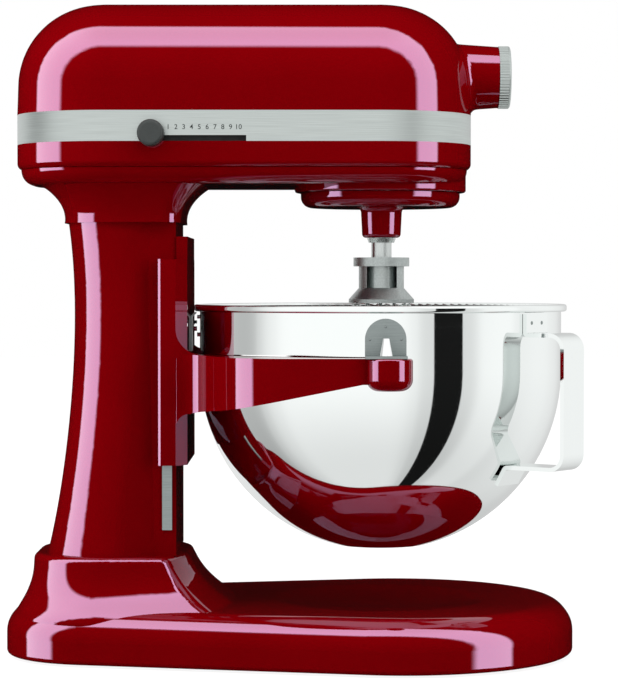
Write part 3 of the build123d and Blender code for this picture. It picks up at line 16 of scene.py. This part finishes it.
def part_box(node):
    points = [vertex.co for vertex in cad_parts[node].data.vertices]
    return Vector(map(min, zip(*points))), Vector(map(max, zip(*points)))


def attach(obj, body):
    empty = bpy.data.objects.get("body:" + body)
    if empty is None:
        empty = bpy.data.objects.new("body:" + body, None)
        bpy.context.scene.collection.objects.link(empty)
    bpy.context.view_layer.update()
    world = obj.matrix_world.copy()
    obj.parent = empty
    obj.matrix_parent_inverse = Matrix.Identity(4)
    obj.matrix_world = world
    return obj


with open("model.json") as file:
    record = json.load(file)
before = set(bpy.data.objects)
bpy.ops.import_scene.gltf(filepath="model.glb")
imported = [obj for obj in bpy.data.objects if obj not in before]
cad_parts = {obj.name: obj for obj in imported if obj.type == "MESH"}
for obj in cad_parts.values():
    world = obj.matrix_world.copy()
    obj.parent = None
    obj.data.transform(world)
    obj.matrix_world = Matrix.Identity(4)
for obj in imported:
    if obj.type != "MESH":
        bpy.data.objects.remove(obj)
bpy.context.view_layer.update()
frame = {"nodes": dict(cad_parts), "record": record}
nodes = frame["nodes"]

# ------------------------------------------------------------------ materials

deep_red, bright_red = (0.128, 0.0, 0.0010), (0.146, 0.0, 0.0013)


def new_material(name):
    """A material with an empty tree but for the Principled shader and its output."""
    material = bpy.data.materials.new(name)
    material.use_nodes = True
    tree = material.node_tree
    return material, tree, tree.nodes["Principled BSDF"]


def noise(tree, scale, stretch=(1.0, 1.0, 1.0), detail=3.0):
    """Noise over the object's own space, drawn out along its axes by stretch."""
    coords = tree.nodes.new("ShaderNodeTexCoord")
    mapping = tree.nodes.new("ShaderNodeMapping")
    mapping.inputs["Scale"].default_value = stretch
    texture = tree.nodes.new("ShaderNodeTexNoise")
    texture.inputs["Scale"].default_value = scale
    texture.inputs["Detail"].default_value = detail
    tree.links.new(coords.outputs["Object"], mapping.inputs["Vector"])
    tree.links.new(mapping.outputs["Vector"], texture.inputs["Vector"])
    return texture.outputs["Fac"]


def add_bump(tree, shader, height, strength, distance=0.0002):
    """Turns a height into the shader's normal."""
    bump = tree.nodes.new("ShaderNodeBump")
    bump.inputs["Strength"].default_value = strength
    bump.inputs["Distance"].default_value = distance
    tree.links.new(height, bump.inputs["Height"])
    tree.links.new(bump.outputs["Normal"], shader.inputs["Normal"])


def add_ramp(tree, factor, low, high, target):
    """Spreads the middle of a noise between two colours, or two greys, into a socket."""
    ramp = tree.nodes.new("ShaderNodeValToRGB")
    first, last = ramp.color_ramp.elements
    first.position, last.position = 0.3, 0.7
    first.color = (*low, 1.0)
    last.color = (*high, 1.0)
    tree.links.new(factor, ramp.inputs["Fac"])
    tree.links.new(ramp.outputs["Color"], target)


def grey(level):
    """A grey of that linear level."""
    return (level, level, level)


def shade(colour, factor):
    """The colour made darker or lighter, and no brighter than white."""
    return tuple(min(1.0, channel * factor) for channel in colour)


def enamel():
    """Deep red gloss enamel with a faint orange peel."""
    material, tree, shader = new_material("red_enamel")
    shader.inputs["Roughness"].default_value = 0.0
    shader.inputs["Specular IOR Level"].default_value = 1.0
    shader.inputs["Specular Tint"].default_value = (1.0, 0.60, 1.0, 1.0)
    add_ramp(tree, noise(tree, scale=9.0), deep_red, bright_red, shader.inputs["Base Color"])
    orange_peel = noise(tree, scale=160.0, detail=1.0)
    add_bump(tree, shader, orange_peel, strength=0.02)
    return material


def brushed(name, colour, roughness, stretch):
    """Brushed metal: fine scratches that vary across the grain and run along it."""
    material, tree, shader = new_material(name)
    shader.inputs["Metallic"].default_value = 1.0
    grain = noise(tree, scale=60.0, stretch=stretch, detail=5.0)
    add_ramp(tree, grain, shade(colour, 0.86), shade(colour, 1.12), shader.inputs["Base Color"])
    add_ramp(tree, grain, grey(roughness - 0.06), grey(roughness + 0.08),
             shader.inputs["Roughness"])
    add_bump(tree, shader, grain, strength=0.12)
    return material


def polished(name, colour, roughness):
    """Polished steel with the faint rings that spinning and buffing leave."""
    material, tree, shader = new_material(name)
    shader.inputs["Metallic"].default_value = 1.0
    shader.inputs["Base Color"].default_value = (*colour, 1.0)
    rings = noise(tree, scale=40.0, stretch=(0.02, 0.02, 9.0), detail=2.0)
    add_ramp(tree, rings, grey(roughness), grey(roughness + 0.03), shader.inputs["Roughness"])
    add_bump(tree, shader, rings, strength=0.012)
    return material


def cast_metal(name, colour, roughness):
    """Satin cast metal with a fine pebbled skin."""
    material, tree, shader = new_material(name)
    shader.inputs["Metallic"].default_value = 1.0
    skin = noise(tree, scale=900.0, detail=2.0)
    wear = noise(tree, scale=60.0)
    add_ramp(tree, skin, shade(colour, 0.8), colour, shader.inputs["Base Color"])
    add_ramp(tree, wear, grey(roughness - 0.05), grey(roughness + 0.1),
             shader.inputs["Roughness"])
    add_bump(tree, shader, skin, strength=0.25)
    return material


def moulded(name, colour, roughness, grain=1400.0):
    """Moulded plastic or rubber with a fine spark-eroded grain."""
    material, tree, shader = new_material(name)
    speckle = noise(tree, scale=grain, detail=2.0)
    wear = noise(tree, scale=120.0)
    add_ramp(tree, speckle, shade(colour, 0.7), colour, shader.inputs["Base Color"])
    add_ramp(tree, wear, grey(roughness - 0.05), grey(roughness + 0.08),
             shader.inputs["Roughness"])
    add_bump(tree, shader, speckle, strength=0.1, distance=0.0001)
    return material


finishes = {
    "red_enamel": enamel(),
    "band_steel": brushed("band_brushed", (0.48, 0.52, 0.505), 0.34, (0.5, 0.5, 60.0)),
    "bowl_steel": polished("bowl_polished", (0.80, 0.83, 0.82), 0.02),
    "bracket_steel": brushed("bracket_satin", (0.27, 0.305, 0.30), 0.42, (1.0, 1.0, 30.0)),
    "chrome": polished("pin_chrome", (0.86, 0.87, 0.87), 0.03),
    "steel": brushed("shaft_steel", (0.52, 0.55, 0.54), 0.26, (30.0, 30.0, 1.0)),
    "cast_aluminium": cast_metal("hub_cast", (0.46, 0.50, 0.49), 0.36),
    "black_plastic": moulded("control_black", (0.022, 0.026, 0.025), 0.42),
    "rubber": moulded("foot_rubber", (0.03, 0.03, 0.03), 0.7, grain=700.0),
    "iron": cast_metal("stator_iron", (0.16, 0.16, 0.17), 0.55),
    "copper": brushed("rotor_copper", (0.72, 0.36, 0.18), 0.35, (40.0, 1.0, 1.0)),
    "bronze": brushed("wheel_bronze", (0.60, 0.42, 0.20), 0.35, (20.0, 20.0, 20.0)),
    "carbon": moulded("brush_carbon", (0.04, 0.04, 0.04), 0.6),
}

for part in frame["record"]["subparts"]:
    mesh = nodes[part["node"]].data
    mesh.materials.clear()
    mesh.materials.append(finishes[part["material_slot"]])

# ---------------------------------------------------- speed scale on the band

# Plain numbers 1 to 10, printed in line above the slot
scale_gap = 0.0022  # from the knob's edge to the middle of the first number
scale_step = 0.00485
scale_rise = 0.0073  # foot of the numbers above the band's lower edge
digit_height = 0.0031
digit_share = 0.72  # part of the type's size that a digit fills
digit_spacing = 1.05
print_depth = 0.00002
print_weight = 0.00004  # added round each stroke
print_lift = 0.00004  # in front of the band


def print_scale():
    """The numbers, each as type of its own."""
    ink = moulded("scale_ink", (0.020, 0.026, 0.025), 0.5)
    band_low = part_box("trim_band")[0]
    scale_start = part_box("speed_knob")[1].x + scale_gap
    for number in range(1, 11):
        curve = bpy.data.curves.new(f"scale_{number}", "FONT")
        curve.body = str(number)
        curve.size = digit_height / digit_share
        curve.align_x = "CENTER"
        curve.extrude = print_depth
        curve.offset = print_weight
        curve.space_character = digit_spacing
        curve.materials.append(ink)
        label = bpy.data.objects.new(f"scale_{number}", curve)
        bpy.context.scene.collection.objects.link(label)
        label.rotation_euler = (math.radians(90), 0.0, 0.0)
        label.location = (
            scale_start + (number - 1) * scale_step,
            band_low.y - print_lift,
            band_low.z + scale_rise,
        )
        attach(label, "stand")


print_scale()

# ----------------------------------------------------- spot welds on the bowl

bowl_axis_x = 0.0582
bowl_radius = 0.117
bracket_plate = 0.0016
bracket_weld_radius = 0.0008
bracket_weld_spots = ((0.0, 0.0048), (-0.0095, 0.0125), (0.0095, 0.0125))  # across, below top
handle_turn = -37.0  # round the bowl from +X
handle_weld_radius = 0.0012
handle_weld_shift = 0.0058  # either side of the handle's middle
handle_weld_drop = 0.0055  # below the handle's top edge
ray_start = 0.3  # from the bowl's axis, well outside the handle
dimple_height = 0.35  # against its radius


def dimple(work, centre, outward, radius):
    """A shallow round-topped button at centre, standing along outward."""
    turn = Vector((0.0, 0.0, 1.0)).rotation_difference(Vector(outward)).to_matrix().to_4x4()
    flatten = Matrix.Diagonal((1.0, 1.0, dimple_height, 1.0))
    place = Matrix.Translation(centre) @ turn @ flatten
    bmesh.ops.create_uvsphere(work, u_segments=20, v_segments=10, radius=radius, matrix=place)


def bracket_dimples(work):
    """Three spot welds on the upright plate of each bracket."""
    low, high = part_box("bowl_brackets")
    middle = (low.x + high.x) / 2
    face = bowl_radius + bracket_plate
    for side in (-1, 1):
        for across, drop in bracket_weld_spots:
            centre = (middle + across, side * face, high.z - drop)
            dimple(work, centre, (0.0, side, 0.0), bracket_weld_radius)


def handle_dimples(work):
    """Two spot welds on the handle's upper flange, found by rays towards the bowl's axis."""
    handle = nodes["bowl_handle"]
    to_handle = handle.matrix_world.inverted()
    surface = BVHTree.FromObject(handle, bpy.context.evaluated_depsgraph_get())
    turn = math.radians(handle_turn)
    out = Vector((math.cos(turn), math.sin(turn), 0.0))
    across = Vector((-out.y, out.x, 0.0))
    axis = Vector((bowl_axis_x, 0.0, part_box("bowl_handle")[1].z - handle_weld_drop))
    for shift in (-handle_weld_shift, handle_weld_shift):
        origin = axis + out * ray_start + across * shift
        hit = surface.ray_cast(to_handle @ origin, -out)[0]
        dimple(work, handle.matrix_world @ hit, out, handle_weld_radius)


def add_welds(name, fill):
    """Welds that fill draws through bmesh, as a piece that rides with the bowl."""
    mesh = bpy.data.meshes.new(name)
    work = bmesh.new()
    fill(work)
    for face in work.faces:
        face.smooth = True
    work.to_mesh(mesh)
    work.free()
    mesh.materials.append(finishes["bracket_steel"])
    piece = bpy.data.objects.new(name, mesh)
    bpy.context.scene.collection.objects.link(piece)
    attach(piece, "bowl_lift")


add_welds("bracket_welds", bracket_dimples)
add_welds("handle_welds", handle_dimples)

# --------------------------------------------------------------- shader sums


def feed(tree, value, target):
    """Gives an input a plain number, or links a socket to it."""
    if isinstance(value, (int, float)):
        target.default_value = value
    else:
        tree.links.new(value, target)


def calculate(tree, operation, *values):
    """A Math node over sockets or plain numbers."""
    node = tree.nodes.new("ShaderNodeMath")
    node.operation = operation
    for value, target in zip(values, node.inputs):
        feed(tree, value, target)
    return node.outputs["Value"]


def product(tree, first, *others):
    """All the values multiplied together, in order."""
    total = first
    for other in others:
        total = calculate(tree, "MULTIPLY", total, other)
    return total


def degrees(tree, value):
    """An angle in radians turned into degrees."""
    return product(tree, value, 180 / math.pi)


def choose(tree, flag, off, on):
    """The level off where a light path's flag is nought, and on where it is one."""
    node = tree.nodes.new("ShaderNodeMix")
    tree.links.new(flag, node.inputs["Factor"])
    feed(tree, off, node.inputs["A"])
    feed(tree, on, node.inputs["B"])
    return node.outputs["Result"]


def rise(tree, value, start, end, low=0.0, high=1.0, interpolation="SMOOTHSTEP"):
    """Goes from low to high as value goes from start to end."""
    node = tree.nodes.new("ShaderNodeMapRange")
    node.interpolation_type = interpolation
    node.inputs["From Min"].default_value = start
    node.inputs["From Max"].default_value = end
    node.inputs["To Min"].default_value = low
    node.inputs["To Max"].default_value = high
    tree.links.new(value, node.inputs["Value"])
    return node.outputs["Result"]


def span(tree, value, start, end, soft):
    """One between start and end, and nought outside, with soft edges."""
    return product(tree, rise(tree, value, start - soft, start + soft),
                   rise(tree, value, end - soft, end + soft, 1.0, 0.0))


def profile(tree, value, stops):
    """A level that passes through the stops, which run from the least value to the greatest."""
    low, high = stops[0][0], stops[-1][0]
    node = tree.nodes.new("ShaderNodeFloatCurve")
    curve = node.mapping.curves[0]
    node.mapping.use_clip = False
    for place, level in stops[1:-1]:
        curve.points.new((place - low) / (high - low), level)
    for point, (place, level) in zip(curve.points, stops):
        point.location = ((place - low) / (high - low), level)
        point.handle_type = "AUTO_CLAMPED"
    node.mapping.update()
    tree.links.new(rise(tree, value, low, high, interpolation="LINEAR"), node.inputs["Value"])
    return node.outputs["Value"]


# --------------------------------------------------------------------- world

# Azimuth is measured round the object from straight in front (-Y), positive to the right.
# A pair of edges is the angles between which something fades in or out, and a single edge is
# half the width of such a fade.

# Brightness of the white walls by azimuth: brightest in front, darker behind and to the left
wall_levels = (
    (-180.0, 0.80), (-128.0, 1.05), (-108.0, 0.62), (-97.0, 0.58), (-84.0, 0.80), (-71.0, 1.08),
    (-55.0, 1.20), (0.0, 1.20), (20.0, 1.05), (32.0, 0.86), (52.0, 0.86), (68.0, 1.12),
    (85.0, 1.15), (97.0, 1.05), (114.0, 1.08), (136.0, 1.00), (160.0, 0.75), (180.0, 0.60),
)
wall_foot, wall_foot_level = -60.0, 0.74  # elevation below which the walls stay dimmed
wall_full = 5.0  # elevation from which they have their whole brightness

# Black card to the right of the front, under a brighter stretch of wall
card_left, card_right, card_edge = 32.0, 51.0, 0.4
card_top, card_top_edge = 1.0, 0.5
card_darkness = 0.987
glow_left, glow_right, glow_edge = 24.0, 62.0, 6.0
glow_full = 4.0  # elevation from which the glow is whole
glow_level = 0.45

# Softboxes in a band round the front, by angle from straight ahead. The band leans: its edges
# lie closer to straight ahead on the right than on the left.
band_inner, band_inner_lean, band_inner_edges = 53.0, -6.0, (-1.5, 5.0)
band_outer, band_outer_lean, band_outer_edges = 89.0, -11.0, (-1.0, 3.0)
band_bottom_edges = (-12.5, -10.5)
overhead_edges, overhead_level = (52.0, 81.0), 0.84
softbox_strength = 6.3
dark_room_level = 0.003
mirrored_share = 0.25  # of the softboxes, in enamel that is itself mirrored in the bowl
mirrored_depth = 2.5  # ray depth past which enamel counts as mirrored

plain_level = 0.26  # what matt surfaces are lit by


def metal_room(tree, azimuth, elevation):
    """What polished and brushed metal sees: white walls and a tall black card."""
    card = product(
        tree,
        span(tree, azimuth, card_left, card_right, card_edge),
        rise(tree, elevation, card_top - card_top_edge, card_top + card_top_edge, 1.0, 0.0),
    )
    glow = product(
        tree,
        span(tree, azimuth, glow_left, glow_right, glow_edge),
        rise(tree, elevation, card_top, glow_full, 0.0, glow_level),
    )
    return product(
        tree,
        profile(tree, azimuth, wall_levels),
        rise(tree, elevation, wall_foot, wall_full, wall_foot_level, 1.0),
        calculate(tree, "ADD", 1.0, glow),
        calculate(tree, "SUBTRACT", 1.0, product(tree, card, card_darkness)),
    )


def enamel_room(tree, ahead, right, elevation, ray_depth):
    """What enamel sees: a dark room with softboxes from low left, overhead, to low right."""
    from_ahead = calculate(tree, "ARCCOSINE", ahead)
    off_axis = degrees(tree, from_ahead)
    across = calculate(tree, "DIVIDE", right, calculate(tree, "SINE", from_ahead))
    inner = calculate(tree, "ADD", product(tree, across, band_inner_lean), band_inner)
    outer = calculate(tree, "ADD", product(tree, across, band_outer_lean), band_outer)
    band = product(
        tree,
        rise(tree, calculate(tree, "SUBTRACT", off_axis, inner), *band_inner_edges),
        rise(tree, calculate(tree, "SUBTRACT", outer, off_axis), *band_outer_edges),
        rise(tree, elevation, *band_bottom_edges),
        rise(tree, elevation, *overhead_edges, 1.0, overhead_level),
    )
    seen_directly = calculate(tree, "LESS_THAN", ray_depth, mirrored_depth)
    share = calculate(tree, "ADD", product(tree, seen_directly, 1.0 - mirrored_share),
                      mirrored_share)
    boxes = product(tree, band, product(tree, share, softbox_strength))
    return calculate(tree, "ADD", boxes, dark_room_level)


def make_world():
    """White to the camera, a plain level to matt surfaces, and a room for each kind of gloss.

    Only the enamel is perfectly smooth, so its reflections alone are singular rays.
    """
    world = bpy.data.worlds.new("studio")
    bpy.context.scene.world = world
    world.use_nodes = True
    tree = world.node_tree
    paths = tree.nodes.new("ShaderNodeLightPath")
    coords = tree.nodes.new("ShaderNodeTexCoord")
    split = tree.nodes.new("ShaderNodeSeparateXYZ")
    tree.links.new(coords.outputs["Generated"], split.inputs["Vector"])
    right = split.outputs["X"]
    ahead = product(tree, split.outputs["Y"], -1.0)
    azimuth = degrees(tree, calculate(tree, "ARCTAN2", right, ahead))
    elevation = degrees(tree, calculate(tree, "ARCSINE", split.outputs["Z"]))

    metal_sees = metal_room(tree, azimuth, elevation)
    enamel_sees = enamel_room(tree, ahead, right, elevation, paths.outputs["Ray Depth"])
    level = choose(tree, paths.outputs["Is Glossy Ray"], plain_level, metal_sees)
    level = choose(tree, paths.outputs["Is Singular Ray"], level, enamel_sees)
    level = choose(tree, paths.outputs["Is Camera Ray"], level, 1.0)
    background = tree.nodes["Background"]
    background.inputs["Color"].default_value = (1.0, 1.0, 1.0, 1.0)
    tree.links.new(level, background.inputs["Strength"])


# --------------------------------------------------------------------- floor

floor_reach = 6.0
floor_drop = 0.0004  # below the feet, so that no two faces share a plane
floor_albedo = 0.45
floor_glow_share = 0.70  # of what the camera sees; the rest shows the shadow
glow_near, glow_far = 0.25, 0.95  # distances between which the glow grows
near_strength, far_strength = 1.28, 1.44


def make_floor():
    """A white floor that takes a faint shadow and leaves reflections to the room."""
    mesh = bpy.data.meshes.new("floor")
    corners = [(-floor_reach, -floor_reach, 0), (floor_reach, -floor_reach, 0),
               (floor_reach, floor_reach, 0), (-floor_reach, floor_reach, 0)]
    mesh.from_pydata(corners, [], [(0, 1, 2, 3)])
    floor = bpy.data.objects.new("floor", mesh)
    floor.location.z = -floor_drop
    floor.visible_glossy = False
    bpy.context.scene.collection.objects.link(floor)
    material, tree, shader = new_material("floor_white")
    shader.inputs["Roughness"].default_value = 1.0
    shader.inputs["Specular IOR Level"].default_value = 0.0
    shader.inputs["Base Color"].default_value = (*grey(floor_albedo), 1.0)
    place = tree.nodes.new("ShaderNodeNewGeometry")
    distance = tree.nodes.new("ShaderNodeVectorMath")
    distance.operation = "LENGTH"
    tree.links.new(place.outputs["Position"], distance.inputs[0])
    strength = rise(tree, distance.outputs["Value"], glow_near, glow_far, near_strength,
                    far_strength)
    white = tree.nodes.new("ShaderNodeEmission")
    tree.links.new(strength, white.inputs["Strength"])
    paths = tree.nodes.new("ShaderNodeLightPath")
    mix = tree.nodes.new("ShaderNodeMixShader")
    tree.links.new(product(tree, paths.outputs["Is Camera Ray"], floor_glow_share),
                   mix.inputs["Fac"])
    tree.links.new(shader.outputs["BSDF"], mix.inputs[1])
    tree.links.new(white.outputs["Emission"], mix.inputs[2])
    tree.links.new(mix.outputs["Shader"], tree.nodes["Material Output"].inputs["Surface"])
    mesh.materials.append(material)


# ---------------------------------------------------------- camera and lamps

camera_place = (0.012, -1.600, 0.2405)
camera_pitch = 1.509  # below level
camera_lens = 128.47  # millimetres
camera_range = 50.0


def make_camera():
    """The camera, in front of the speed slider's side."""
    data = bpy.data.cameras.new("camera")
    data.lens = camera_lens
    data.clip_end = camera_range
    camera = bpy.data.objects.new("camera", data)
    camera.location = camera_place
    camera.rotation_euler = (math.radians(90 - camera_pitch), 0.0, 0.0)
    bpy.context.scene.collection.objects.link(camera)
    bpy.context.scene.camera = camera


def lamp(name, place, aim_height, width, height, power):
    """An area lamp that faces the frame's upright axis and is seen in no reflection."""
    data = bpy.data.lights.new(name, "AREA")
    data.shape = "RECTANGLE"
    data.size = width
    data.size_y = height
    data.energy = power
    box = bpy.data.objects.new(name, data)
    box.location = place
    facing = Vector((0.0, 0.0, aim_height)) - Vector(place)
    box.rotation_euler = facing.to_track_quat("-Z", "Y").to_euler()
    box.visible_glossy = False
    bpy.context.scene.collection.objects.link(box)


make_world()
make_floor()
make_camera()
lamp("left_box", (-1.15, -0.35, 0.55), aim_height=0.2, width=0.75, height=1.2, power=19.0)
lamp("right_box", (0.95, -0.75, 0.55), aim_height=0.2, width=0.5, height=1.2, power=12.0)
lamp("back_box", (0.3, 1.25, 0.7), aim_height=0.2, width=1.0, height=0.8, power=10.0)
lamp("top_box", (0.0, -0.45, 1.25), aim_height=0.3, width=1.6, height=0.45, power=15.0)
bpy.context.scene.view_settings.view_transform = "Standard"
